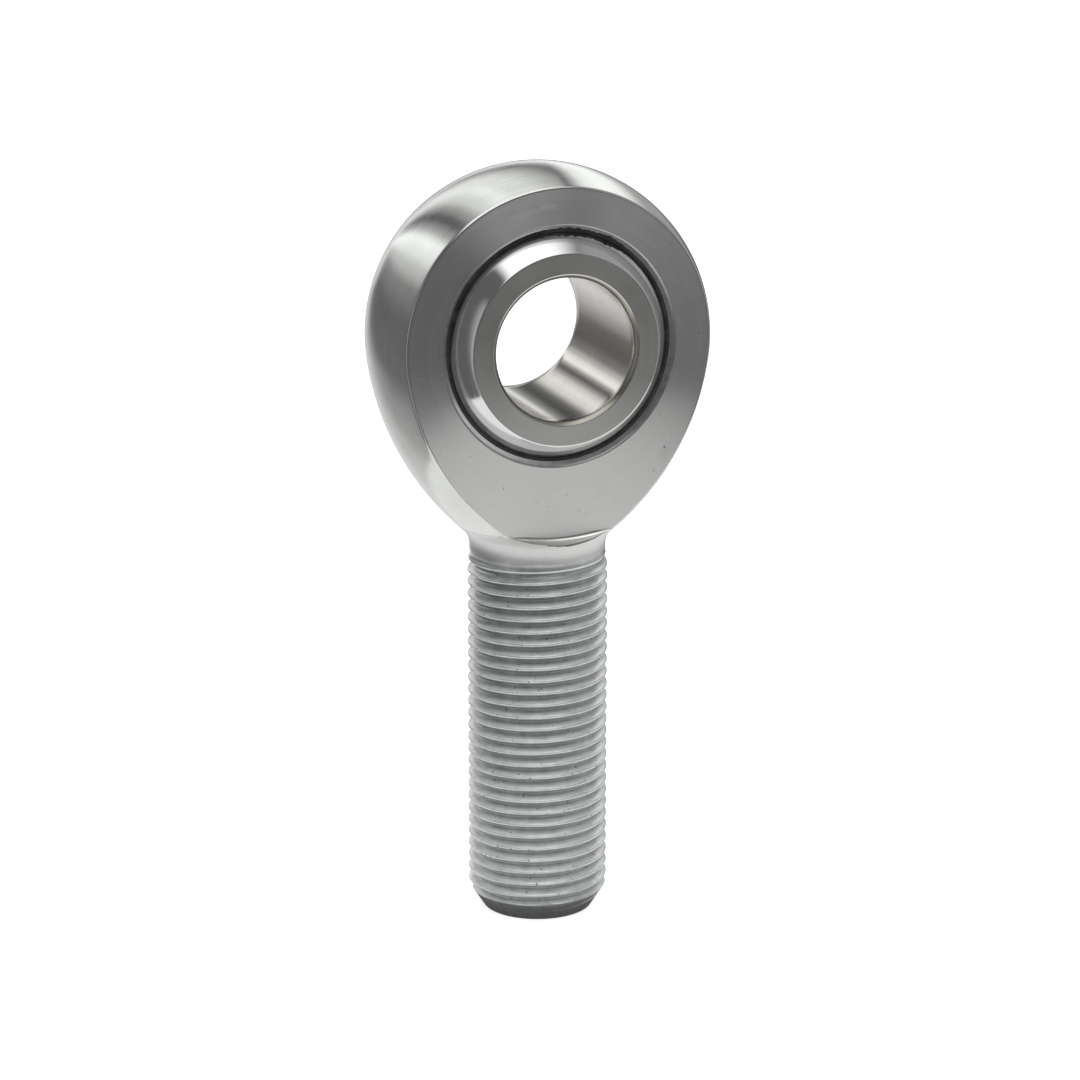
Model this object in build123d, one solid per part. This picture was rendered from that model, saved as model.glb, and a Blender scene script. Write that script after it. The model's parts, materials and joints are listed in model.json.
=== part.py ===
from build123d import *
import os
from math import asin, cos, radians, sin, sqrt, tan

# Male rod end, 5/8 inch bore and 5/8-18 UNF right-hand shank thread, in millimetres.
# Origin: centre of the ball. Y: axis of the ball's bore at rest. Z: up, so the shank points along -Z.

INCH = 25.4

# Head
HEAD_RADIUS = 1.500 * INCH / 2  # ball-shaped outside of the head
HEAD_WIDTH = 15.0  # from one flat face to the other
FLANK_RADIUS = 31.5  # flatter arc from the head down to the neck
FLANK_START_DEG = 7.5  # where that arc leaves the sphere, below the head's middle
FACING_RADIUS = 21.8  # reach of the facing cut on each flat, about the bore axis
FACING_SLOPE = 0.35  # how much further that cut reaches per millimetre away from the flat
FACE_EDGE_BREAK = 0.2

# Neck and threaded shank
CENTRE_TO_END = 2.625 * INCH
THREAD_LENGTH = 1.625 * INCH
THREAD_RADIUS = 7.88  # crest of the 5/8-18 UNF-3A thread, modelled as a plain shaft
NECK_RADIUS = 7.63  # just under the thread's crests
NECK_FILLET = 3.0
END_RADIUS = 6.2  # flat end inside the lead-in cone
END_CONE_DEG = 33.0

# Ball
BALL_RADIUS = 1.125 * INCH / 2
BALL_WIDTH = 0.750 * INCH
BORE_RADIUS = 0.625 * INCH / 2
BORE_CHAMFER = 0.42

# Liner between the ball and the head, with a running gap on each side
RUNNING_GAP = 0.0325
LINER_THICKNESS = 0.3
LINER_WIDTH = 13.9
LINER_INNER = BALL_RADIUS + RUNNING_GAP
LINER_OUTER = LINER_INNER + LINER_THICKNESS
SOCKET_RADIUS = LINER_OUTER + RUNNING_GAP
MOUTH_RADIUS = 13.37  # edge of the socket's 45 degree bevel on each flat
BEVEL_REACH = 1.0  # how far the bevel's cutter runs each way from the flat


def along_bore(radius, length):
    """A cylinder on the bore axis, centred on the origin."""
    return Rot(90, 0, 0) * Cylinder(radius, length)


def head_and_shank_blank():
    """The turned blank: head, flank, neck and shank in one revolved outline."""
    start = radians(FLANK_START_DEG)
    offset = HEAD_RADIUS - FLANK_RADIUS
    flank_centre = Vector(offset * cos(start), -offset * sin(start))
    drop = sqrt(FLANK_RADIUS**2 - (NECK_RADIUS - flank_centre.X) ** 2)
    neck_top = flank_centre.Y - drop
    thread_top = THREAD_LENGTH - CENTRE_TO_END
    thread_step = THREAD_RADIUS - NECK_RADIUS
    cone_height = (THREAD_RADIUS - END_RADIUS) / tan(radians(END_CONE_DEG))

    top = (0, HEAD_RADIUS)
    half_way = (HEAD_RADIUS * cos(radians(45)), HEAD_RADIUS * sin(radians(45)))
    flank_start = (HEAD_RADIUS * cos(start), -HEAD_RADIUS * sin(start))
    flank_angle = (start + asin(drop / FLANK_RADIUS)) / 2
    flank_middle = (
        flank_centre.X + FLANK_RADIUS * cos(flank_angle),
        flank_centre.Y - FLANK_RADIUS * sin(flank_angle),
    )
    outline = (
        ThreePointArc(top, half_way, flank_start)
        + ThreePointArc(flank_start, flank_middle, (NECK_RADIUS, neck_top))
        + Polyline(
            (NECK_RADIUS, neck_top),
            (NECK_RADIUS, thread_top + thread_step),
            (THREAD_RADIUS, thread_top),
            (THREAD_RADIUS, cone_height - CENTRE_TO_END),
            (END_RADIUS, -CENTRE_TO_END),
            (0, -CENTRE_TO_END),
            top,
        )
    )
    section = make_face(Plane.XZ * outline)
    blank = revolve(section, Axis.Z)
    corner = blank.edges().filter_by(GeomType.CIRCLE).sort_by(lambda e: abs(e.center().Z - neck_top))[0]
    return fillet(corner, NECK_FILLET)


def body():
    """One-piece head and shank, faced flat on both sides and bored to a spherical socket."""
    solid = head_and_shank_blank()
    for turn in (-90, 90):
        solid -= Rot(turn, 0, 0) * facing_cut()
    solid = chamfer(edges_on_flats(solid), FACE_EDGE_BREAK)
    return solid - socket()


def facing_cut():
    """The cone faced off one side, standing on the flat and opening away from it."""
    height = HEAD_RADIUS
    cone = Cone(FACING_RADIUS, FACING_RADIUS + FACING_SLOPE * height, height)
    return Pos(0, 0, HEAD_WIDTH / 2 + height / 2) * cone


def socket():
    """Spherical socket for the liner, with a bevelled mouth at each flat."""
    cutter = Cone(MOUTH_RADIUS - BEVEL_REACH, MOUTH_RADIUS + BEVEL_REACH, 2 * BEVEL_REACH)
    back_mouth = Pos(0, HEAD_WIDTH / 2, 0) * Rot(-90, 0, 0) * cutter
    front_mouth = Pos(0, -HEAD_WIDTH / 2, 0) * Rot(90, 0, 0) * cutter
    return Sphere(SOCKET_RADIUS) + back_mouth + front_mouth


def edges_on_flats(solid):
    """Outer edges of both flats, without the stretch along the facing cut."""
    return [
        edge
        for edge in solid.edges()
        if all(abs(abs((edge @ share).Y) - HEAD_WIDTH / 2) < 1e-4 for share in (0, 0.5, 1))
        and (edge @ 0.5).Z > -HEAD_RADIUS
    ]


def liner():
    """Thin spherical shell that lines the socket."""
    shell = Sphere(LINER_OUTER) - Sphere(LINER_INNER)
    return shell & Box(4 * HEAD_RADIUS, LINER_WIDTH, 4 * HEAD_RADIUS)


def ball():
    """Truncated sphere with a chamfered through bore."""
    solid = Sphere(BALL_RADIUS) & Box(4 * BALL_RADIUS, BALL_WIDTH, 4 * BALL_RADIUS)
    solid -= along_bore(BORE_RADIUS, 2 * BALL_WIDTH)
    bore_edges = [
        edge
        for edge in solid.edges().filter_by(GeomType.CIRCLE)
        if abs(edge.radius - BORE_RADIUS) < 1e-4
    ]
    return chamfer(bore_edges, BORE_CHAMFER)


PIECES = {"body": body, "liner": liner, "ball": ball}

os.makedirs("parts", exist_ok=True)
for name, make in PIECES.items():
    export_step(make(), f"parts/{name}.step")
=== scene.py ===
"""Visual model of a male rod end: a threaded steel body, a thin black liner and a chromed ball.

Lengths are in metres, in the CAD frame: the ball's centre is the origin, Y is the bore's axis at rest
and Z is up.
"""

import json
import logging
from dataclasses import dataclass, field
from enum import Enum, IntEnum
from math import asin, cos, pi, radians, sin, sqrt, tan
from typing import Callable

import bmesh
import bpy
import numpy as np
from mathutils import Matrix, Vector


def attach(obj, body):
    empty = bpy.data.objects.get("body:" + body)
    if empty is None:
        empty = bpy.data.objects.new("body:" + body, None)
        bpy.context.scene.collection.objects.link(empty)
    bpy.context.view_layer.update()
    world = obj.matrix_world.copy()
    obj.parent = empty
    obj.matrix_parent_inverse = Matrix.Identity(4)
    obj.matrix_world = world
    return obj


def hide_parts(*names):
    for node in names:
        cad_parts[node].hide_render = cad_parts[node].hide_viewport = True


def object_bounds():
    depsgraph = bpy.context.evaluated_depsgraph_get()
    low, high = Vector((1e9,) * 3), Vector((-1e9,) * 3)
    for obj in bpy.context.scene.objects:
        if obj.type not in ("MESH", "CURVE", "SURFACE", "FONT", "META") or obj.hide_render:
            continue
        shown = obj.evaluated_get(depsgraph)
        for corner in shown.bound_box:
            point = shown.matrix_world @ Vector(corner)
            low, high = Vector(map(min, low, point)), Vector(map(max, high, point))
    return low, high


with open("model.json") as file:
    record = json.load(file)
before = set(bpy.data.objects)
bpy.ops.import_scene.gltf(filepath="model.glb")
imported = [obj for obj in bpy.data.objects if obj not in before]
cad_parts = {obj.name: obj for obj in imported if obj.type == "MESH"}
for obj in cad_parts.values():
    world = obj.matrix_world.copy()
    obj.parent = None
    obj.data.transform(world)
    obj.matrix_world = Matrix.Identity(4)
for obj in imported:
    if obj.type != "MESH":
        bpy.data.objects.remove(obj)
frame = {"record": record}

CAD_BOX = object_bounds()
MM = 0.001
log = logging.getLogger("rod_end")

Node = bpy.types.Node
Socket = bpy.types.NodeSocket
Colour = tuple[float, float, float]


def mount(name: str) -> dict:
    """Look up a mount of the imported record.

    Args:
        name: the mount's name.

    Returns:
        The mount, with pos_m, axis and dims.
    """
    return next(entry for entry in frame["record"]["mounts"] if entry["name"] == name)


def solve(value: Callable[[np.ndarray], np.ndarray], low: np.ndarray, high: np.ndarray) -> np.ndarray:
    """Find where a rising function crosses zero, by halving.

    Args:
        value: the function, which rises from low to high.
        low: where the search starts.
        high: where it ends.

    Returns:
        The crossings.
    """
    low, high = np.array(low, float), np.array(high, float)
    for _ in range(48):
        middle = (low + high) / 2
        above = value(middle) > 0
        high = np.where(above, middle, high)
        low = np.where(above, low, middle)
    return (low + high) / 2


def rounded(start: np.ndarray, corner: np.ndarray, end: np.ndarray, count: int) -> np.ndarray:
    """Round a corner off with a smooth curve.

    Args:
        start: where the curve leaves the first side, one point or many.
        corner: the sharp corner.
        end: where it meets the second side.
        count: points along the curve.

    Returns:
        The curve's points, one row for each step.
    """
    steps = np.linspace(0, 1, count).reshape(-1, *[1] * np.ndim(start))
    return (1 - steps) ** 2 * start + 2 * steps * (1 - steps) * corner + steps**2 * end


def smooth_step(value: np.ndarray, low: float, high: float) -> np.ndarray:
    """Rise smoothly from 0 at low to 1 at high."""
    part = np.clip((value - low) / (high - low), 0.0, 1.0)
    return part * part * (3 - 2 * part)


class MeshBuilder:
    """Collects grids of points and joins them into one closed mesh."""

    def __init__(self, weld: float = 2e-6) -> None:
        """Start an empty mesh whose points closer than weld become one."""
        self.weld = weld
        self.points: list[np.ndarray] = []
        self.faces: list[np.ndarray] = []
        self.zones: list[np.ndarray] = []
        self.count = 0

    def grid(self, points: np.ndarray, zone: np.ndarray | int = 0) -> None:
        """Add a grid of quads.

        Args:
            points: rows by columns by 3.
            zone: the material slot of its faces, or one for each.
        """
        rows, columns = points.shape[:2]
        index = np.arange(rows * columns).reshape(rows, columns) + self.count
        corners = (index[:-1, :-1], index[1:, :-1], index[1:, 1:], index[:-1, 1:])
        quads = np.stack(corners, -1).reshape(-1, 4)
        self.points.append(points.reshape(-1, 3))
        self.faces.append(quads)
        self.zones.append(np.broadcast_to(zone, (rows - 1, columns - 1)).ravel())
        self.count += rows * columns

    def ring_of(self, outline: np.ndarray, turns: int, zones: list[int]) -> None:
        """Turn an outline about the Y axis.

        Args:
            outline: points as (distance from the axis, y).
            turns: steps round the axis.
            zones: the material slot of each stretch of the outline.
        """
        angle = np.linspace(0.0, 2 * pi, turns + 1)
        distance, height = outline[:, 0, None], outline[:, 1, None]
        points = np.stack([distance * np.sin(angle), height + 0 * angle, distance * np.cos(angle)], -1)
        self.grid(points, np.array(zones)[:, None])

    def build(self, name: str, sharp: float = 32.0) -> bpy.types.Object:
        """Weld the grids and make the object.

        Args:
            name: the piece's name.
            sharp: edges that turn more than this, in degrees, are shaded sharp.

        Returns:
            The object, linked to the scene.
        """
        mesh = bpy.data.meshes.new(name)
        mesh.from_pydata(np.concatenate(self.points).tolist(), [], np.concatenate(self.faces).tolist())
        mesh.polygons.foreach_set("material_index", np.concatenate(self.zones).astype(np.int32))
        work = bmesh.new()
        work.from_mesh(mesh)
        bmesh.ops.remove_doubles(work, verts=work.verts, dist=self.weld)
        bmesh.ops.dissolve_degenerate(work, edges=work.edges, dist=self.weld / 4)
        bmesh.ops.recalc_face_normals(work, faces=work.faces)
        for face in work.faces:
            face.smooth = True
        work.to_mesh(mesh)
        work.free()
        mesh.set_sharp_from_angle(angle=radians(sharp))
        piece = bpy.data.objects.new(name, mesh)
        bpy.context.scene.collection.objects.link(piece)
        return piece


class Around(Enum):
    """The axis that a tool's marks run round."""

    BORE = "bore"
    SHANK = "shank"


class Graph:
    """Short ways to add and link shader nodes."""

    def __init__(self, tree: bpy.types.NodeTree, keep: bool = False) -> None:
        """Work on a tree, cleared first unless it is kept."""
        self.tree = tree
        if not keep:
            tree.nodes.clear()

    def first(self, kind: str) -> Node:
        """Find the tree's first node of a type."""
        return next(node for node in self.tree.nodes if node.bl_idname == kind)

    def add(self, kind: str, **settings: object) -> Node:
        """Add a node of that type with those properties."""
        node = self.tree.nodes.new(kind)
        for key, value in settings.items():
            setattr(node, key, value)
        return node

    def feed(self, socket: Socket, value: object) -> None:
        """Link a socket to another, or set its own value."""
        if isinstance(value, bpy.types.NodeSocket):
            self.tree.links.new(value, socket)
        else:
            socket.default_value = value

    def math(self, operation: str, *values: object, clamp: bool = False) -> Socket:
        """Add a Math node.

        Args:
            operation: Blender's name for it.
            values: numbers or sockets.
            clamp: keep the result between 0 and 1.

        Returns:
            Its output.
        """
        node = self.add("ShaderNodeMath", operation=operation, use_clamp=clamp)
        for socket, value in zip(node.inputs, values):
            self.feed(socket, value)
        return node.outputs[0]

    def vector(self, operation: str, *values: object) -> Node:
        """Add a Vector Math node with those inputs."""
        node = self.add("ShaderNodeVectorMath", operation=operation)
        for socket, value in zip(node.inputs, values):
            self.feed(socket, value)
        return node

    def span(
        self, value: object, low: float, high: float, to_low: float = 0.0, to_high: float = 1.0
    ) -> Socket:
        """Map low to high onto to_low to to_high with a smooth step.

        Args:
            value: the socket to map.
            low: where the step starts.
            high: where it ends.
            to_low: the result at low.
            to_high: the result at high.

        Returns:
            The mapped value.
        """
        node = self.add("ShaderNodeMapRange", interpolation_type="SMOOTHSTEP")
        for socket, number in zip(node.inputs, (value, low, high, to_low, to_high)):
            self.feed(socket, number)
        return node.outputs[0]

    def noise(self, vector: Socket, scale: float, detail: float = 3.0, rough: float = 0.55) -> Socket:
        """Add a Noise texture and return its value."""
        node = self.add("ShaderNodeTexNoise")
        for name, value in (("Vector", vector), ("Scale", scale), ("Detail", detail), ("Roughness", rough)):
            self.feed(node.inputs[name], value)
        return node.outputs["Fac"]

    def mix(self, factor: object, first: object, second: object) -> Socket:
        """Mix two colours and return the result."""
        node = self.add("ShaderNodeMix", data_type="RGBA")
        self.feed(node.inputs[0], factor)
        self.feed(node.inputs[6], first)
        self.feed(node.inputs[7], second)
        return node.outputs[2]

    def scale(self, vector: object, factor: object) -> Socket:
        """Multiply a vector or a colour by one number and return the result."""
        node = self.vector("SCALE", vector)
        self.feed(node.inputs["Scale"], factor)
        return node.outputs[0]


@dataclass(frozen=True)
class PaintedBoreShade:
    """Painted shade: a dark patch low in a bore, with where each of its edges fades, in metres along X or
    Z.
    """

    depth: float
    top: tuple[float, float] = (-0.0040, -0.0065)
    right: tuple[float, float] = (0.0034, 0.0020)
    left: tuple[float, float] = (-0.0014, -0.0002)
    left_share: float = 0.3


@dataclass
class Layers:
    """What a finish has built so far: its colour, its roughness and the height of its bumps."""

    colour: Socket
    rough: Socket
    bumps: Socket


@dataclass(frozen=True)
class TurnedSteel:
    """Plated or ground steel with the marks of a lathe tool or a wheel.

    A mark's width and depth are in metres, and the shares are from 0 to 1.
    """

    name: str
    around: Around
    colour: Colour
    roughness: float
    stretch: float
    mark_width: float = 0.00012
    mark_depth: float = 0.000002
    mark_rough: float = 0.05
    cloud: float = 0.06
    cloud_size: float = 0.004
    specks: float = 0.0
    speck_size: float = 0.0004
    speck_colour: Colour = (0.10, 0.10, 0.10)
    scratches: float = 0.0
    scratch_colour: Colour = (0.85, 0.85, 0.84)
    scratch_turn: tuple[float, float, float] = (0.6, 0.9, 0.35)
    scratch_scale: tuple[float, float, float] = (240.0, 9000.0, 240.0)
    grain: float = 0.0
    grain_size: float = 0.00009
    lean: float = 0.0
    # painted shade towards a thread's roots: (distance where darkest, distance where full, darkest share)
    root_shade: tuple[float, float, float] | None = None
    # painted shade: a dark patch low in a bore
    bore_shade: PaintedBoreShade | None = None
    coat: float = 0.0
    coat_roughness: float = 0.12

    def material(self) -> bpy.types.Material:
        """Build the finish as shader nodes.

        Returns:
            The material.
        """
        made = bpy.data.materials.new(self.name)
        made.use_nodes = True
        g = Graph(made.node_tree)
        place = g.add("ShaderNodeTexCoord").outputs["Object"]
        split = g.add("ShaderNodeSeparateXYZ")
        g.feed(split.inputs[0], place)
        x, y, z = split.outputs
        across, along, height = (x, z, y) if self.around is Around.BORE else (x, y, z)
        square = g.math("MULTIPLY_ADD", across, across, g.math("MULTIPLY", along, along))
        reach = g.math("SQRT", square)
        marks = self.tool_marks(g, reach, height, g.math("ARCTAN2", along, across))
        layers = self.plain_layers(g, place, marks)
        # Painted shade: the colour is darkened towards the thread's roots, between the crests.
        if self.root_shade:
            low, high, darkest = self.root_shade
            layers.colour = g.scale(layers.colour, g.span(reach, low, high, darkest, 1.0))
        # Painted shade: the colour is darkened low in the bore.
        if self.bore_shade:
            layers.colour = g.scale(layers.colour, self.bore_shade_factor(g, x, z))
        if self.grain:
            fine = g.noise(place, 1 / self.grain_size, 2.0, 0.6)
            layers.bumps = g.math("MULTIPLY_ADD", fine, self.grain, layers.bumps)
        if self.scratches:
            self.add_scratches(g, place, layers)
        if self.specks:
            self.add_specks(g, place, layers)
        self.add_shader(g, place, layers)
        return made

    def tool_marks(self, g: Graph, reach: Socket, height: Socket, angle: Socket) -> Socket:
        """Draw the fine rings that the tool left.

        Args:
            g: the graph to add to.
            reach: distance from the axis.
            height: distance along the axis.
            angle: angle about the axis.

        Returns:
            The marks, from 0 to 1.
        """
        rings = g.add("ShaderNodeCombineXYZ")
        g.feed(rings.inputs[0], g.math("DIVIDE", reach, self.mark_width))
        g.feed(rings.inputs[1], g.math("DIVIDE", height, self.mark_width))
        g.feed(rings.inputs[2], g.math("MULTIPLY", g.math("ABSOLUTE", angle), 1.4))
        return g.noise(rings.outputs[0], 1.0, 4.0, 0.6)

    def plain_layers(self, g: Graph, place: Socket, marks: Socket) -> Layers:
        """Shade the bare metal by its marks and by soft clouds.

        Args:
            g: the graph to add to.
            place: the place on the piece.
            marks: the tool's marks.

        Returns:
            The first layers.
        """
        cloud = g.math("SUBTRACT", g.noise(place, 1 / self.cloud_size, 3.0, 0.5), 0.5)
        mark = g.math("SUBTRACT", marks, 0.5)
        tone = g.math("MULTIPLY_ADD", cloud, 4 * self.cloud, 1.0)
        tone = g.math("MULTIPLY_ADD", mark, 0.35 * self.cloud / 0.06, tone)
        rough = g.math("MULTIPLY_ADD", mark, 4 * self.mark_rough, self.roughness)
        rough = g.math("MULTIPLY_ADD", cloud, 0.2 * self.roughness, rough)
        return Layers(g.scale((*self.colour,), tone), rough, marks)

    def bore_shade_factor(self, g: Graph, x: Socket, z: Socket) -> Socket:
        """Find how much of the colour is left inside the painted shade patch.

        Args:
            g: the graph to add to.
            x: place along X.
            z: place along Z.

        Returns:
            The factor for the colour.
        """
        below = g.span(z, *self.bore_shade.top)
        left = g.span(x, *self.bore_shade.left, self.bore_shade.left_share, 1.0)
        beside = g.math("MULTIPLY", g.span(x, *self.bore_shade.right), left)
        shade = g.math("MULTIPLY", g.math("MULTIPLY", below, beside), -self.bore_shade.depth)
        return g.math("ADD", shade, 1.0)

    def add_scratches(self, g: Graph, place: Socket, layers: Layers) -> None:
        """Add thin pale scratches, all in about one direction.

        Args:
            g: the graph to add to.
            place: the place on the piece.
            layers: what is changed.
        """
        turned = g.add("ShaderNodeMapping")
        g.feed(turned.inputs["Vector"], place)
        g.feed(turned.inputs["Rotation"], self.scratch_turn)
        g.feed(turned.inputs["Scale"], self.scratch_scale)
        lines = g.span(g.noise(turned.outputs[0], 1.0, 2.0, 0.5), 0.64, 0.72)
        pale = g.math("MULTIPLY", lines, 0.35 * self.scratches)
        layers.colour = g.mix(pale, layers.colour, (*self.scratch_colour, 1.0))
        layers.rough = g.math("MULTIPLY_ADD", lines, 0.15 * self.scratches, layers.rough)
        layers.bumps = g.math("MULTIPLY_ADD", lines, -1.5 * self.scratches, layers.bumps)

    def add_specks(self, g: Graph, place: Socket, layers: Layers) -> None:
        """Add small dark pits.

        Args:
            g: the graph to add to.
            place: the place on the piece.
            layers: what is changed.
        """
        threshold = 0.80 - 0.12 * self.specks
        spots = g.noise(place, 1 / self.speck_size, 1.5, 0.5)
        dots = g.span(spots, threshold, threshold + 0.06)
        dark = g.math("MULTIPLY", dots, 0.8)
        layers.colour = g.mix(dark, layers.colour, (*self.speck_colour, 1.0))
        layers.bumps = g.math("MULTIPLY_ADD", dots, -2.0, layers.bumps)
        layers.rough = g.math("MULTIPLY_ADD", dots, 0.2, layers.rough)

    def add_shader(self, g: Graph, place: Socket, layers: Layers) -> None:
        """Turn the layers into metal that is stretched along the tool's marks.

        Args:
            g: the graph to add to.
            place: the place on the piece.
            layers: the finished layers.
        """
        bump = g.add("ShaderNodeBump")
        bump.inputs["Strength"].default_value = 1.0
        bump.inputs["Distance"].default_value = self.mark_depth
        g.feed(bump.inputs["Height"], layers.bumps)
        if self.lean:
            outward = g.vector("NORMALIZE", g.vector("MULTIPLY", place, (1.0, 0.0, 1.0)).outputs[0])
            plain = g.add("ShaderNodeNewGeometry").outputs["Normal"]
            tilt = g.scale(outward.outputs[0], self.lean)
            g.feed(bump.inputs["Normal"], g.vector("ADD", plain, tilt).outputs[0])
        shader = g.add("ShaderNodeBsdfPrincipled")
        shader.inputs["Metallic"].default_value = 1.0
        shader.inputs["Anisotropic"].default_value = self.stretch
        shader.inputs["Anisotropic Rotation"].default_value = 0.25
        shader.inputs["Coat Weight"].default_value = self.coat
        shader.inputs["Coat Roughness"].default_value = self.coat_roughness
        axis = (0.0, 1.0, 0.0) if self.around is Around.BORE else (0.0, 0.0, 1.0)
        tangent = g.vector("NORMALIZE", g.vector("CROSS_PRODUCT", axis, place).outputs[0])
        g.feed(shader.inputs["Tangent"], tangent.outputs[0])
        g.feed(shader.inputs["Base Color"], layers.colour)
        g.feed(shader.inputs["Roughness"], g.math("MAXIMUM", layers.rough, 0.03, clamp=True))
        g.feed(shader.inputs["Normal"], bump.outputs[0])
        out = g.add("ShaderNodeOutputMaterial")
        g.feed(out.inputs["Surface"], shader.outputs[0])


@dataclass(frozen=True)
class BlackLiner:
    """Matt black low-friction liner with a faint pressed grain."""

    name: str = "black_liner_edge"
    colour: tuple[float, float, float] = (0.012, 0.012, 0.013)

    def material(self) -> bpy.types.Material:
        """Build the finish as shader nodes.

        Returns:
            The material.
        """
        made = bpy.data.materials.new(self.name)
        made.use_nodes = True
        g = Graph(made.node_tree)
        place = g.add("ShaderNodeTexCoord").outputs["Object"]
        grain = g.noise(place, 1 / 0.0002, 3.0, 0.6)
        patches = g.noise(place, 1 / 0.0015, 2.0, 0.5)
        colour = g.mix(g.span(patches, 0.35, 0.75), (*self.colour, 1.0), (0.035, 0.035, 0.036, 1.0))
        bump = g.add("ShaderNodeBump")
        bump.inputs["Distance"].default_value = 0.00004
        g.feed(bump.inputs["Height"], grain)
        shader = g.add("ShaderNodeBsdfPrincipled")
        g.feed(shader.inputs["Base Color"], colour)
        g.feed(shader.inputs["Roughness"], g.span(grain, 0.3, 0.7, 0.45, 0.75))
        g.feed(shader.inputs["Normal"], bump.outputs[0])
        out = g.add("ShaderNodeOutputMaterial")
        g.feed(out.inputs["Surface"], shader.outputs[0])
        return made


class BodyZone(IntEnum):
    """Surfaces of the body, numbered by material slot."""

    RIM = 0
    FACE = 1
    NECK = 2
    THREAD = 3
    LEDGE = 4
    BEVEL = 5
    # Painted shadow: a dark strip on the neck just under each facing ledge.
    BURR = 6


class BallZone(IntEnum):
    """Surfaces of the ball, numbered by material slot."""

    SPHERE = 0
    END = 1
    BORE = 2
    CHAMFER = 3


BODY_FINISHES = {
    BodyZone.RIM: TurnedSteel(
        "zinc_rim", Around.BORE, (0.735, 0.750, 0.728), 0.16, 0.70, mark_depth=0.0000012, scratches=0.35
    ),
    BodyZone.FACE: TurnedSteel(
        "zinc_face", Around.BORE, (0.765, 0.780, 0.760), 0.34, 0.92, mark_rough=0.03, cloud=0.035,
        specks=0.5, scratches=0.3, lean=0.17,
    ),
    BodyZone.NECK: TurnedSteel("zinc_neck", Around.SHANK, (0.78, 0.79, 0.775), 0.48, 0.1),
    # The thread's colour is darkened towards its roots as painted shade.
    BodyZone.THREAD: TurnedSteel(
        "zinc_thread", Around.SHANK, (0.82, 0.85, 0.835), 0.42, 0.0, mark_rough=0.08, cloud=0.12,
        cloud_size=0.0010, specks=0.9, grain=0.4, root_shade=(0.00715, 0.00786, 0.72), coat=1.0,
    ),
    BodyZone.LEDGE: TurnedSteel(
        "zinc_ledge", Around.SHANK, (0.98, 0.97, 0.95), 0.24, 0.0, mark_depth=0.000008, coat=1.0,
        scratches=1.0,
    ),
    BodyZone.BEVEL: TurnedSteel(
        "zinc_bevel", Around.BORE, (0.68, 0.69, 0.67), 0.30, 0.6, cloud=0.10, cloud_size=0.001
    ),
    # Painted shadow under the facing ledges: a dark colour on a strip of neck faces.
    BodyZone.BURR: TurnedSteel(
        "zinc_burr", Around.SHANK, (0.15, 0.145, 0.135), 0.45, 0.0, cloud=0.15, cloud_size=0.0006
    ),
}

BALL_FINISHES = {
    BallZone.SPHERE: TurnedSteel(
        "chrome_sphere", Around.BORE, (0.80, 0.805, 0.805), 0.12, 0.3, mark_depth=0.0000003,
        mark_rough=0.01, cloud=0.02, scratches=0.5,
    ),
    BallZone.END: TurnedSteel(
        "chrome_end", Around.BORE, (0.60, 0.605, 0.575), 0.42, 0.45, mark_rough=0.02, cloud=0.03,
        scratches=0.4, lean=0.08,
    ),
    # The bore's lower wall is darkened as painted shade.
    BallZone.BORE: TurnedSteel(
        "ground_bore", Around.BORE, (0.66, 0.64, 0.595), 0.15, 0.75, specks=0.4, bore_shade=PaintedBoreShade(0.80)
    ),
    BallZone.CHAMFER: TurnedSteel("ground_chamfer", Around.BORE, (0.44, 0.42, 0.37), 0.28, 0.5),
}


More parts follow.
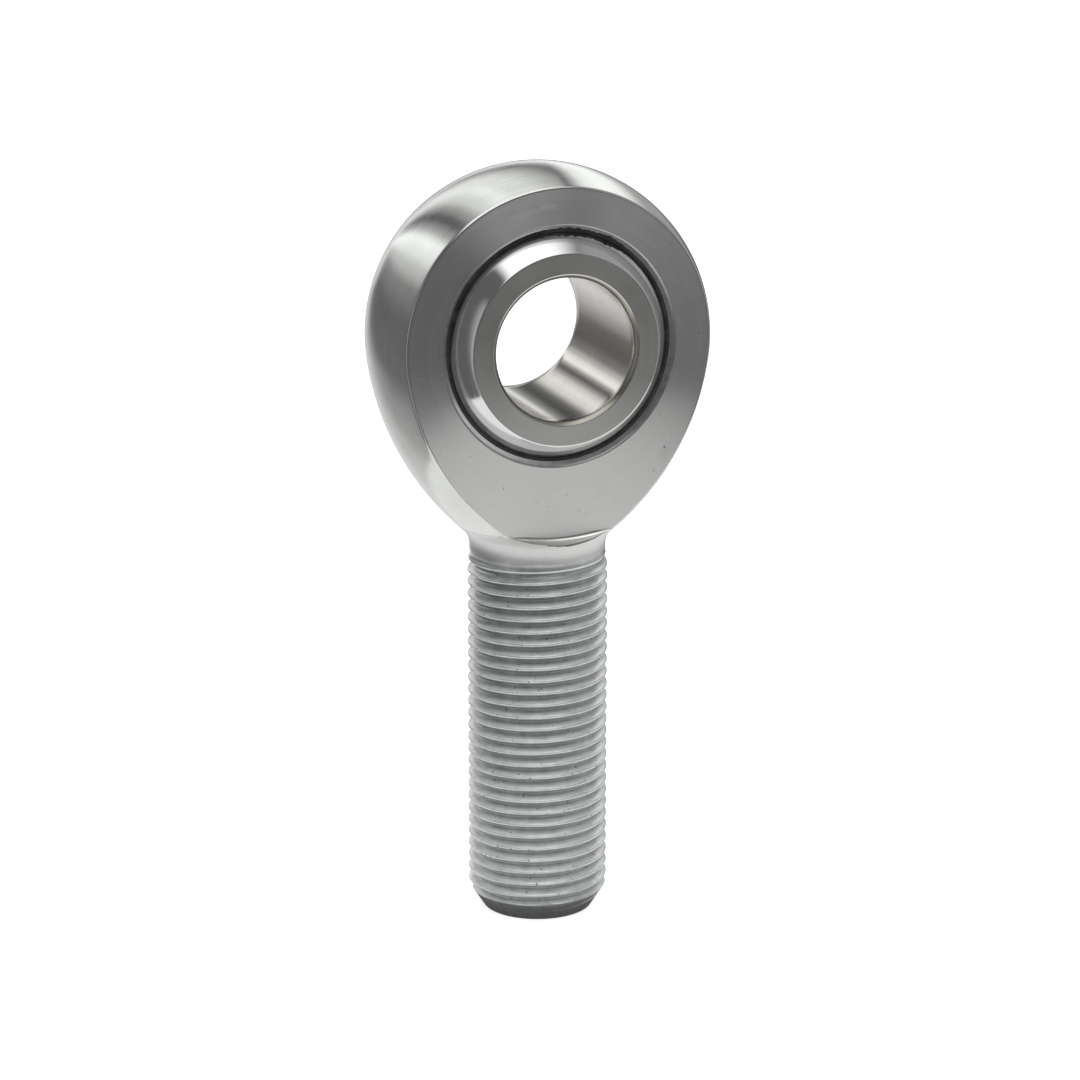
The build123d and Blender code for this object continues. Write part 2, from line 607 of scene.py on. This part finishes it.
@dataclass
class Body:
    """One-piece head, neck and threaded shank."""

    head_radius: float = 19.05 * MM
    half_width: float = 7.5 * MM
    flank_radius: float = 31.5 * MM
    flank_start: float = radians(7.5)
    facing_radius: float = 21.8 * MM
    facing_slope: float = 0.35
    facing_fillet: float = 0.40 * MM
    edge_break: float = 0.22 * MM
    neck_radius: float = 7.63 * MM
    neck_fillet: float = 3.0 * MM
    root_radius: float = 7.045 * MM
    crest_soft: float = 0.05 * MM
    root_soft: float = 0.12 * MM
    thread_slope: float = radians(60)
    pitch: float = 25.4 * MM / 18
    thread_turns: int = 30
    thread_phase: float = -0.3
    end_radius: float = 6.2 * MM
    end_cone: float = radians(33.0)
    mouth_radius: float = 13.37 * MM
    mouth_rounding: float = 0.14 * MM
    socket_radius: float = 14.6525 * MM
    sector_columns: int = 32
    # size of the painted shadow strip under each ledge, in columns, rows and taper per row
    ledge_shadow_columns: int = 11
    ledge_shadow_rows: int = 3
    ledge_shadow_taper: int = 3
    outline_steps: int = 320
    crest_radius: float = field(default_factory=lambda: mount("shank_thread")["dims"]["r_mm"] * MM)
    shank_end: float = field(default_factory=lambda: mount("shank_end")["pos_m"][2])
    flank_r: float = field(init=False)
    flank_z: float = field(init=False)
    flank_top: float = field(init=False)
    flank_end: float = field(init=False)
    fillet_r: float = field(init=False)
    fillet_z: float = field(init=False)
    shoulder: float = field(init=False)

    def __post_init__(self) -> None:
        """Work out where the flank and the fillet meet the sphere and the neck."""
        offset = self.head_radius - self.flank_radius
        self.flank_r = offset * cos(self.flank_start)
        self.flank_z = -offset * sin(self.flank_start)
        self.flank_top = -self.head_radius * sin(self.flank_start)
        reach = self.flank_radius + self.neck_fillet
        self.fillet_r = self.neck_radius + self.neck_fillet
        self.fillet_z = self.flank_z - sqrt(reach**2 - (self.fillet_r - self.flank_r) ** 2)
        self.flank_end = self.flank_z + (self.fillet_z - self.flank_z) * self.flank_radius / reach
        self.shoulder = self.shank_end + self.thread_turns * self.pitch

    def turned_radius(self, z: np.ndarray) -> np.ndarray:
        """Radius of the turned blank about the shank's axis.

        Args:
            z: heights on that axis.

        Returns:
            The radii.
        """
        sphere = np.sqrt(np.clip(self.head_radius**2 - z**2, 0, None))
        flank = self.flank_r + np.sqrt(np.clip(self.flank_radius**2 - (z - self.flank_z) ** 2, 0, None))
        fillet = self.fillet_r - np.sqrt(np.clip(self.neck_fillet**2 - (z - self.fillet_z) ** 2, 0, None))
        radius = np.where(z > self.flank_top, sphere, flank)
        radius = np.where(z < self.flank_end, fillet, radius)
        return np.where(z < self.fillet_z, self.neck_radius, radius)

    def thread_profile(self, offset: np.ndarray) -> np.ndarray:
        """Radius of the thread at a distance along the axis from the nearest crest.

        Args:
            offset: distances from 0 to half a pitch.

        Returns:
            The radii, with a flat crest and a rounded root.
        """
        crest_half = self.pitch / 14
        straight = self.crest_radius - (offset - crest_half) * tan(self.thread_slope)
        fall = np.logaddexp(0, (self.crest_radius - straight) / self.crest_soft) - 0.15
        top = self.crest_radius - self.crest_soft * fall
        rise = np.logaddexp(0, (top - self.root_radius) / self.root_soft) - 0.1
        return self.root_radius + self.root_soft * rise

    def shank_radius(self, angle: np.ndarray, z: np.ndarray) -> np.ndarray:
        """Radius of the shank with its thread, its run-out and its lead-in cone.

        Args:
            angle: angles about the shank's axis.
            z: heights.

        Returns:
            The radii.
        """
        turn = (z - self.shank_end) / self.pitch - angle / (2 * pi) - self.thread_phase
        offset = np.abs(turn - np.round(turn)) * self.pitch
        thread = self.thread_profile(offset)
        start = self.shoulder - 0.1 * self.pitch
        share = smooth_step(-z, -start, -start + 1.5 * self.pitch)
        thread = self.neck_radius + share * (thread - self.neck_radius)
        cone = self.end_radius + (z - self.shank_end) * tan(self.end_cone)
        soft = 0.06 * MM
        return -soft * np.logaddexp(-thread / soft, -cone / soft)

    def column_angles(self) -> np.ndarray:
        """Angles of the columns about the shank's axis, in sectors: right, back, left, front."""
        half = asin(self.half_width / self.turned_radius(np.array(self.corner_z)))
        edges = [-half, half, pi - half, pi + half, 2 * pi - half]
        steps = [np.linspace(a, b, self.sector_columns + 1)[:-1] for a, b in zip(edges, edges[1:])]
        return np.append(np.concatenate(steps), edges[-1])

    @property
    def corner_z(self) -> float:
        """Height of the corners where the flats, the flank and the facing cut meet."""
        reach = self.facing_radius**2 + self.half_width**2
        found = solve(lambda z: self.turned_radius(-z) ** 2 + z**2 - reach, 15 * MM, self.facing_radius)
        return -float(found)

    def facing_edge(self, angle: np.ndarray) -> np.ndarray:
        """Heights where the facing cut leaves the blank, at angles about the shank's axis."""

        def beyond(depth: np.ndarray) -> np.ndarray:
            """How far the blank at that depth lies past the cut."""
            radius = self.turned_radius(-depth)
            proud = np.clip(np.abs(radius * np.sin(angle)) - self.half_width, 0, None)
            reach = self.facing_radius + self.facing_slope * proud
            return depth**2 + (radius * np.cos(angle)) ** 2 - reach**2

        deepest = self.facing_radius + 2 * MM
        return -solve(beyond, np.full(angle.shape, 18 * MM), np.full(angle.shape, deepest))

    def outline_reach(self, direction: np.ndarray, y: np.ndarray) -> np.ndarray:
        """Distance of the blank's surface from the bore's axis.

        Args:
            direction: angles about the bore's axis, from the top towards +X.
            y: distances along the bore's axis.

        Returns:
            The distances.
        """
        direction, y = np.broadcast_arrays(direction, y)

        def beyond(reach: np.ndarray) -> np.ndarray:
            """How far a point at that distance lies outside the blank."""
            z = reach * np.cos(direction)
            flank = (reach * np.sin(direction)) ** 2 + y**2 - self.turned_radius(z) ** 2
            return np.where(z > self.flank_top, reach**2 + y**2 - self.head_radius**2, flank)

        return solve(beyond, np.full(y.shape, 12 * MM), np.full(y.shape, 24 * MM))

    def bottom_direction(self, y: np.ndarray) -> np.ndarray:
        """Angle about the bore's axis at which the rim ends, on the level of the corners."""
        side = np.sqrt(self.turned_radius(np.array(self.corner_z)) ** 2 - y**2)
        return np.arctan2(side, self.corner_z)

    def add_rim(self, builder: MeshBuilder) -> np.ndarray:
        """Add the turned rim with its broken edges.

        Args:
            builder: the mesh to add to.

        Returns:
            The edge of one flat, as (x, z) points from the left corner over the top to the right one.
        """
        share = np.linspace(0, 1, self.outline_steps + 1)
        fade = smooth_step(np.minimum(share, 1 - share), 0.0, 0.03)
        broken = self.edge_break * fade
        corner_r = self.turned_radius(np.array(self.corner_z))
        half = asin(self.half_width / corner_r)
        y = corner_r * np.sin(np.linspace(-half, half, self.sector_columns + 1))
        scaled = y[None, :] * (1 - broken[:, None] / self.half_width)
        direction = self.bottom_direction(scaled) * (2 * share[:, None] - 1)
        reach = self.outline_reach(direction, scaled)
        surface = np.stack([reach * np.sin(direction), scaled, reach * np.cos(direction)], -1)
        builder.grid(surface, BodyZone.RIM)
        edge_direction = self.bottom_direction(np.array(self.half_width)) * (2 * share - 1)
        edge = self.outline_reach(edge_direction, np.full(share.shape, self.half_width))
        corner = np.stack([edge * np.sin(edge_direction), edge * np.cos(edge_direction)], -1)
        flat = corner * (1 - broken / edge)[:, None]
        for side, column in ((-1, 0), (1, -1)):
            level = np.full(len(flat), side * self.half_width)
            middle = np.stack([corner[:, 0], level, corner[:, 1]], -1)
            end = np.stack([flat[:, 0], level, flat[:, 1]], -1)
            builder.grid(rounded(surface[:, column], middle, end, 5), BodyZone.RIM)
        return flat

    def add_flats(self, builder: MeshBuilder, edge: np.ndarray, ledge: np.ndarray) -> None:
        """Add both flats and the socket between them.

        Args:
            builder: the mesh to add to.
            edge: the flats' edge over the top, as (x, z) points.
            ledge: the rest of that edge, along the facing cut, from right to left.
        """
        outline = np.concatenate([edge, ledge[1:]])
        distance = np.hypot(outline[:, 0], outline[:, 1])
        unit = outline / distance[:, None]
        inner = self.mouth_radius + self.mouth_rounding
        shares = np.array([0, 0.004, 0.15, 0.3, 0.45, 0.6, 0.75, 0.9, 0.996, 1])[:, None]
        reach = distance * (1 - shares) + inner * shares
        for side in (-1, 1):
            level = np.full(reach.shape, side * self.half_width)
            builder.grid(np.stack([reach * unit[:, 0], level, reach * unit[:, 1]], -1), BodyZone.FACE)
        profile = self.socket_profile()
        across = profile[:, 0, None]
        level = np.repeat(profile[:, 1, None], len(unit), 1)
        builder.grid(np.stack([across * unit[:, 0], level, across * unit[:, 1]], -1), BodyZone.BEVEL)

    def socket_profile(self) -> np.ndarray:
        """Outline of the socket from one flat to the other.

        Returns:
            Points as (distance from the bore's axis, y).
        """
        foot_y = self.bevel_foot()
        foot = np.array([sqrt(self.socket_radius**2 - foot_y**2), foot_y])
        corner = np.array([self.mouth_radius, self.half_width])
        slope = (foot - corner) / np.hypot(*(foot - corner))
        start, end = corner + (self.mouth_rounding, 0), corner + self.mouth_rounding * slope
        bevel = np.stack([end + (foot - end) * share for share in (0.05, 0.5, 0.97, 1.0)])
        swing = np.linspace(-1, 1, 25)[1:-1] * asin(foot_y / self.socket_radius)
        wall = np.stack([self.socket_radius * np.cos(swing), self.socket_radius * np.sin(swing)], -1)
        lip = np.concatenate([rounded(start, corner, end, 4), bevel])
        return np.concatenate([lip * (1, -1), wall, lip[::-1]])

    def bevel_foot(self) -> float:
        """Distance along the bore's axis at which the 45 degree bevel meets the socket."""
        corner = self.half_width - self.mouth_radius
        return (corner + sqrt(2 * self.socket_radius**2 - corner**2)) / 2

    def add_neck(self, builder: MeshBuilder) -> np.ndarray:
        """Add the blank below the corners, down to the shank's shoulder, and the walls of the facing cut.

        Args:
            builder: the mesh to add to.

        Returns:
            The front flat's edge along the cut, as (x, z) points from right to left.
        """
        angle = self.column_angles()
        n = self.sector_columns
        top = np.full(angle.shape, self.corner_z)
        for first in (n, 3 * n):
            sector = slice(first + 1, first + n)
            top[sector] = self.facing_edge(angle[sector])
        share = np.linspace(0, 1, 30)[:, None] ** 0.9
        z = top * (1 - share) + self.shoulder * share
        radius = self.turned_radius(z)
        points = np.stack([radius * np.cos(angle), radius * np.sin(angle), z], -1)
        zones = np.full((len(z) - 1, len(angle) - 1), BodyZone.NECK)
        # Painted shadow: the top rows under each facing ledge get a dark colour, narrowing row by row.
        for row in range(self.ledge_shadow_rows):
            start = self.ledge_shadow_columns + self.ledge_shadow_taper * row
            for first in (n, 3 * n):
                zones[row, first + start : first + n - 2 - row] = BodyZone.BURR
        builder.grid(points, zones)
        for first, side in ((n, 1), (3 * n, -1)):
            wall = self.facing_wall(points[0, first : first + n + 1], side)
            builder.grid(wall, BodyZone.LEDGE)
        return wall[-1, ::-1][:, [0, 2]]

    def facing_wall(self, rim: np.ndarray, side: int) -> np.ndarray:
        """Curve the wall that the facing cut leaves, from the blank's surface up to the flat.

        Args:
            rim: the points where the cut leaves the blank.
            side: 1 for the back, -1 for the front.

        Returns:
            The wall's points, from the rim to the flat.
        """
        proud = np.abs(rim[:, 1]) - self.half_width
        fillet = np.minimum(self.facing_fillet, 0.8 * proud)
        level = np.full(len(rim), side * self.half_width)
        foot = np.stack([rim[:, 0], level, rim[:, 2]], -1)
        foot[:, ::2] *= (self.facing_radius / np.hypot(rim[:, 0], rim[:, 2]))[:, None]
        upper = foot.copy()
        upper[:, ::2] *= (1 - fillet / self.facing_radius)[:, None]
        return rounded(rim, foot, upper, 8)

    def add_shank(self, builder: MeshBuilder) -> None:
        """Add the threaded shank, whose rows follow the helix, and its flat end.

        Args:
            builder: the mesh to add to.
        """
        first = self.column_angles()[:-1]
        angle = np.append(np.sort(np.mod(first, 2 * pi)), 2 * pi)
        if angle[0] > 1e-9:
            angle = np.insert(angle, 0, 0.0)
        rise = self.pitch * angle / (2 * pi)
        half = np.array([0.0, 0.055, 0.085, 0.125, 0.19, 0.30, 0.40, 0.45])
        fractions = np.concatenate([half, [0.5], 1 - half[:0:-1]])
        drops = (np.arange(-1, self.thread_turns + 2)[:, None] + fractions[None, :]).ravel()
        z = self.shoulder + (self.thread_phase - drops[:, None]) * self.pitch + rise[None, :]
        z = np.clip(z, self.shank_end, self.shoulder)
        radius = self.shank_radius(np.broadcast_to(angle, z.shape), z)
        thread = np.stack([radius * np.cos(angle), radius * np.sin(angle), z], -1)
        builder.grid(thread, BodyZone.THREAD)
        rim = self.shank_radius(angle, np.full(angle.shape, self.shank_end))
        share = np.linspace(1, 0, 6)[:, None]
        level = np.full((len(share), len(angle)), self.shank_end)
        flat = np.stack([rim * share * np.cos(angle), rim * share * np.sin(angle), level], -1)
        builder.grid(flat, BodyZone.NECK)

    def make(self) -> bpy.types.Object:
        """Build and dress the body.

        Returns:
            The finished piece.
        """
        builder = MeshBuilder()
        edge = self.add_rim(builder)
        ledge = self.add_neck(builder)
        self.add_flats(builder, edge, ledge)
        self.add_shank(builder)
        piece = builder.build("rod_end_body")
        for zone in BodyZone:
            piece.data.materials.append(BODY_FINISHES[zone].material())
        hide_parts("body")
        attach(piece, "rod_end_body")
        return piece


@dataclass
class Liner:
    """Thin black liner bonded in the socket, with slightly ragged ends."""

    inner: float = 14.32 * MM
    outer: float = 14.62 * MM
    half_width: float = 6.95 * MM
    turns: int = 720
    flash: float = 0.46 * MM
    flash_span: tuple[float, float] = (radians(-105), radians(46))

    def flash_reach(self, angle: np.ndarray) -> np.ndarray:
        """How far the squeezed-out flash lies up the bevel, at angles from the top towards +X."""
        turn = np.mod(angle + pi, 2 * pi) - pi
        low, high = self.flash_span
        inside = smooth_step(turn, low, low + 0.5) * smooth_step(-turn, -high, -high + 0.35)
        ragged = np.sin(31 * turn + 2 * np.sin(47 * turn)) + 0.7 * np.sin(83 * turn + 1.3)
        torn = 0.62 + 0.22 * ragged * smooth_step(turn, -0.35, 0.25)
        return 0.02 * MM + self.flash * inside * np.clip(torn, 0.15, 1.0)

    def arc(self, radius: float, side: int) -> np.ndarray:
        """Section of one of the liner's walls, as (distance, y) points that start on that side."""
        end = side * asin(self.half_width / radius)
        swing = np.linspace(end, -end, 21)
        return np.stack([radius * np.cos(swing), radius * np.sin(swing)], -1)

    def profile(self, angle: np.ndarray) -> np.ndarray:
        """Closed section of the liner at each angle, with its flash.

        Args:
            angle: angles from the top towards +X.

        Returns:
            The section's points by angles, each as (distance from the axis, y).
        """
        inside, outside = self.arc(self.inner, 1), self.arc(self.outer, -1)
        reach = self.flash_reach(angle)
        lip_in = np.stack([inside[-1, 0] + 0.35 * reach, inside[-1, 1] - 0.25 * reach], -1)
        lip_out = np.stack([outside[0, 0] + 0.68 * reach, outside[0, 1] - 0.74 * reach], -1)
        rows = [np.repeat(point[None], len(angle), 0) for point in inside]
        rows += [lip_in, lip_out]
        rows += [np.repeat(point[None], len(angle), 0) for point in (*outside, inside[0])]
        return np.stack(rows)

    def make(self) -> bpy.types.Object:
        """Build and dress the liner.

        Returns:
            The finished piece.
        """
        angle = np.linspace(0.0, 2 * pi, self.turns + 1)
        profile = self.profile(angle)
        points = [profile[..., 0] * np.sin(angle), profile[..., 1], profile[..., 0] * np.cos(angle)]
        builder = MeshBuilder()
        builder.grid(np.stack(points, -1))
        piece = builder.build("race_liner")
        piece.data.materials.append(BlackLiner().material())
        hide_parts("liner")
        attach(piece, "liner_carrier")
        return piece


@dataclass
class Ball:
    """Chromed truncated sphere with a chamfered bore."""

    radius: float = 14.2875 * MM
    chamfer: float = 0.42 * MM
    rounding: float = 0.12 * MM
    mouth_soft: float = 0.05 * MM
    turns: int = 288
    bore_radius: float = field(default_factory=lambda: mount("ball_bore")["dims"]["r_mm"] * MM)
    half_width: float = field(default_factory=lambda: mount("ball_face_back")["pos_m"][1])

    def half_outline(self) -> tuple[np.ndarray, list[int]]:
        """Outline of one half, from the ball's middle over its end and back down the bore.

        Returns:
            Points as (distance from the axis, y), and the zone of each stretch between them.
        """
        edge = asin(self.half_width / self.radius)
        trim = edge - self.rounding / self.radius
        corner = np.array([self.radius * cos(edge), self.half_width])
        swing = np.linspace(0, trim, 40)
        sphere = np.stack([self.radius * np.cos(swing), self.radius * np.sin(swing)], -1)
        flat_start = corner - (self.rounding, 0)
        bend = rounded(sphere[-1], corner, flat_start, 5)[1:]
        soft = self.mouth_soft
        mouth = self.bore_radius + self.chamfer
        ends = (flat_start[0], mouth + soft)
        flat_reach = ends[0] + (ends[1] - ends[0]) * np.array([0.01, 0.25, 0.5, 0.75, 0.99, 1.0])
        flat = np.stack([flat_reach, np.full(flat_reach.shape, self.half_width)], -1)
        cone = np.array([[mouth - soft * 0.7, self.half_width - soft * 0.7],
                         [self.bore_radius + soft * 0.7, self.half_width - self.chamfer + soft * 0.7],
                         [self.bore_radius, self.half_width - self.chamfer - soft]])
        depth = np.linspace(self.half_width - self.chamfer - soft, 0, 9)[1:]
        bore = np.stack([np.full(depth.shape, self.bore_radius), depth], -1)
        zones = [BallZone.SPHERE] * (len(sphere) + len(bend) - 1) + [BallZone.END] * len(flat)
        zones += [BallZone.SPHERE, BallZone.CHAMFER, BallZone.CHAMFER] + [BallZone.BORE] * len(bore)
        return np.concatenate([sphere, bend, flat, cone, bore]), zones

    def make(self) -> bpy.types.Object:
        """Build and dress the ball.

        Returns:
            The finished piece.
        """
        builder = MeshBuilder()
        outline, zones = self.half_outline()
        for side in (-1, 1):
            builder.ring_of(outline * (1, side), self.turns, zones)
        piece = builder.build("swivel_ball")
        for zone in BallZone:
            piece.data.materials.append(BALL_FINISHES[zone].material())
        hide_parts("ball")
        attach(piece, "swivel_ball")
        return piece


class Axis(IntEnum):
    """Axes of the direction that light comes from."""

    X = 0
    Y = 1
    Z = 2


@dataclass(frozen=True)
class Fade:
    """A smooth edge of a soft box: dark at dark and full at full, along one axis."""

    axis: Axis
    dark: float
    full: float


@dataclass(frozen=True)
class SoftBox:
    """A patch of even light round the object, with soft edges."""

    light: float
    fades: tuple[Fade, ...]

    def shine(self, g: Graph, axes: tuple[Socket, Socket, Socket]) -> Socket:
        """Build the box's light.

        Args:
            g: the world's graph.
            axes: X, Y and Z of the direction.

        Returns:
            The light from that direction.
        """
        first, *others = self.fades
        glow = g.span(axes[first.axis], first.dark, first.full, 0.0, self.light)
        for fade in others:
            glow = g.math("MULTIPLY", glow, g.span(axes[fade.axis], fade.dark, fade.full))
        return glow


BEYOND = SoftBox(0.85, (Fade(Axis.Y, 0.985, 0.998),))
OVERHEAD = SoftBox(
    1.3,
    (
        Fade(Axis.Z, 0.45, 0.80),
        Fade(Axis.X, -0.60, -0.42),
        Fade(Axis.X, 0.62, 0.12),
        Fade(Axis.Y, 0.36, 0.12),
    ),
)
LOW_FRONT = SoftBox(0.35, (Fade(Axis.Z, -0.15, -0.55), Fade(Axis.Y, 0.2, -0.4)))
RIGHT_SIDE = SoftBox(0.36, (Fade(Axis.X, 0.25, 0.6), Fade(Axis.Z, -0.1, 0.3)))
FAR_RIGHT = SoftBox(0.36, (Fade(Axis.X, 0.62, 0.85), Fade(Axis.Z, -0.75, -0.45)))
LEFT_FRONT = SoftBox(0.42, (Fade(Axis.X, -0.7, -0.9), Fade(Axis.Y, -0.05, -0.25)))


@dataclass
class Studio:
    """Pale floor, soft light and the camera.

    The fan holds the light behind the object, as (angle from the top towards -X in degrees, light).
    """

    floor_z: float = field(default_factory=lambda: CAD_BOX[0][2])
    azimuth: float = radians(-19.7)
    elevation: float = radians(15.8)
    distance: float = 0.419
    target: tuple[float, float, float] = (0.0, 0.0, -0.025)
    lens: float = 124.6
    shift: tuple[float, float] = (0.0025, 0.01023)
    dimmest: float = 0.12
    boxes: tuple[SoftBox, ...] = (BEYOND, OVERHEAD, LOW_FRONT, RIGHT_SIDE, FAR_RIGHT, LEFT_FRONT)
    fan: tuple[tuple[float, float], ...] = (
        (-180, 0.80), (-155, 0.40), (-138, 0.14), (-112, 0.10), (-97, 0.20), (-85, 0.34), (-70, 0.42),
        (-57, 0.38), (-51, 0.50), (-43, 0.90), (-36, 1.20), (-24, 1.25), (-15, 1.05), (-10, 0.50),
        (-6.5, 0.10), (-4, 0.45), (-1.5, 0.95), (5, 1.15), (16, 0.86), (25, 0.36), (31, 0.06), (38, 0.40),
        (46, 1.28), (52, 1.10), (62, 0.62), (72, 0.26), (90, 0.15), (116, 0.17), (132, 0.38), (152, 0.62),
        (180, 0.80),
    )

    def add_camera(self) -> None:
        """Place the camera and make it the scene's own."""
        level = cos(self.elevation)
        back = Vector((sin(self.azimuth) * level, -cos(self.azimuth) * level, sin(self.elevation)))
        data = bpy.data.cameras.new("camera")
        data.lens, data.sensor_width = self.lens, 36.0
        data.shift_x, data.shift_y = self.shift
        data.clip_start, data.clip_end = 0.01, 20.0
        camera = bpy.data.objects.new("camera", data)
        camera.location = Vector(self.target) + back * self.distance
        camera.rotation_euler = back.to_track_quat("Z", "Y").to_euler()
        bpy.context.scene.collection.objects.link(camera)
        bpy.context.scene.camera = camera

    def add_disc(
        self, name: str, radius: float, centre: tuple[float, float, float], colour: float, glow: float
    ) -> bpy.types.Object:
        """Add a flat round sheet.

        Args:
            name: its name.
            radius: its radius.
            centre: its middle.
            colour: its grey.
            glow: how much light it gives by itself.

        Returns:
            The sheet.
        """
        builder = MeshBuilder()
        angle = np.linspace(0, 2 * pi, 129)
        reach = np.array([0.0, radius])[:, None]
        points = np.stack([reach * np.cos(angle), reach * np.sin(angle), 0 * reach * angle], -1)
        builder.grid(points + centre)
        disc = builder.build(name)
        made = bpy.data.materials.new(name)
        made.use_nodes = True
        g = Graph(made.node_tree)
        shader = g.add("ShaderNodeBsdfPrincipled")
        shader.inputs["Base Color"].default_value = (colour, colour, colour, 1)
        shader.inputs["Roughness"].default_value = 0.9
        shader.inputs["Emission Color"].default_value = (1, 1, 1, 1)
        shader.inputs["Emission Strength"].default_value = glow
        out = g.add("ShaderNodeOutputMaterial")
        g.feed(out.inputs["Surface"], shader.outputs[0])
        disc.data.materials.append(made)
        return disc

    def add_floor(self) -> None:
        """Add the pale floor, and the small bright sheet that the metal mirrors."""
        floor = self.add_disc("floor", 3.0, (0.0, 0.0, self.floor_z - 0.02 * MM), 0.9, 0.75)
        floor.visible_glossy = False
        centre = (0.030, -0.020, self.floor_z - 0.01 * MM)
        sheet = self.add_disc("bounce_sheet", 0.105, centre, 0.0, 0.9)
        g = Graph(sheet.data.materials[0].node_tree, keep=True)
        place = g.add("ShaderNodeTexCoord").outputs["Object"]
        flat = g.vector("MULTIPLY", place, (1.0, 1.0, 0.0)).outputs[0]
        reach = g.vector("LENGTH", flat).outputs["Value"]
        shader = g.first("ShaderNodeBsdfPrincipled")
        g.feed(shader.inputs["Emission Strength"], g.span(reach, 7 * MM, 14 * MM, 0.1, 0.9))
        sheet.visible_camera = False
        sheet.visible_diffuse = False
        sheet.visible_shadow = False

    def fan_light(self, g: Graph, axes: tuple[Socket, Socket, Socket]) -> Socket:
        """Build the fan of light and dark behind the object, round the bore's axis.

        Args:
            g: the world's graph.
            axes: X, Y and Z of the direction.

        Returns:
            The fan's light, which fades out towards the front.
        """
        x, y, z = axes
        right = g.math("MAXIMUM", g.math("MINIMUM", g.math("MULTIPLY", x, 0.85), 0.30), 0.0)
        left = g.math("SUBTRACT", right, x)
        swing = g.math("DIVIDE", g.math("ARCTAN2", left, z), 2 * pi)
        wheel = g.add("ShaderNodeValToRGB")
        wheel.color_ramp.interpolation = "EASE"
        ramp = wheel.color_ramp.elements
        while len(ramp) < len(self.fan):
            ramp.new(0.5)
        for stop, (angle, light) in zip(ramp, self.fan):
            stop.position = (angle + 180) / 360
            stop.color = (light, light, light, 1)
        g.feed(wheel.inputs[0], g.math("ADD", swing, 0.5))
        return g.math("MULTIPLY", wheel.outputs[0], g.span(y, 0.12, 0.36))

    def add_world(self) -> None:
        """Surround the object with soft boxes and darker gaps, and show plain white to the camera."""
        world = bpy.data.worlds.new("studio")
        bpy.context.scene.world = world
        world.use_nodes = True
        g = Graph(world.node_tree)
        split = g.add("ShaderNodeSeparateXYZ")
        g.feed(split.inputs[0], g.add("ShaderNodeTexCoord").outputs["Generated"])
        axes = tuple(split.outputs)
        light = self.fan_light(g, axes)
        for box in self.boxes:
            light = g.math("MAXIMUM", light, box.shine(g, axes))
        studio = g.add("ShaderNodeBackground")
        g.feed(studio.inputs["Color"], g.math("MAXIMUM", light, self.dimmest))
        plain = g.add("ShaderNodeBackground")
        plain.inputs["Color"].default_value = (1, 1, 1, 1)
        pick = g.add("ShaderNodeMixShader")
        g.feed(pick.inputs[0], g.add("ShaderNodeLightPath").outputs["Is Camera Ray"])
        g.feed(pick.inputs[1], studio.outputs[0])
        g.feed(pick.inputs[2], plain.outputs[0])
        out = g.add("ShaderNodeOutputWorld")
        g.feed(out.inputs["Surface"], pick.outputs[0])

    def make(self) -> None:
        """Set the whole studio up."""
        self.add_camera()
        self.add_floor()
        self.add_world()
        bpy.context.scene.view_settings.view_transform = "Standard"


def main() -> None:
    """Build the studio and the three pieces."""
    logging.basicConfig(level=logging.INFO, format="%(name)s: %(message)s")
    Studio().make()
    for maker in (Body(), Liner(), Ball()):
        piece = maker.make()
        log.info("%s has %d faces", piece.name, len(piece.data.polygons))


if __name__ == "__main__":
    main()
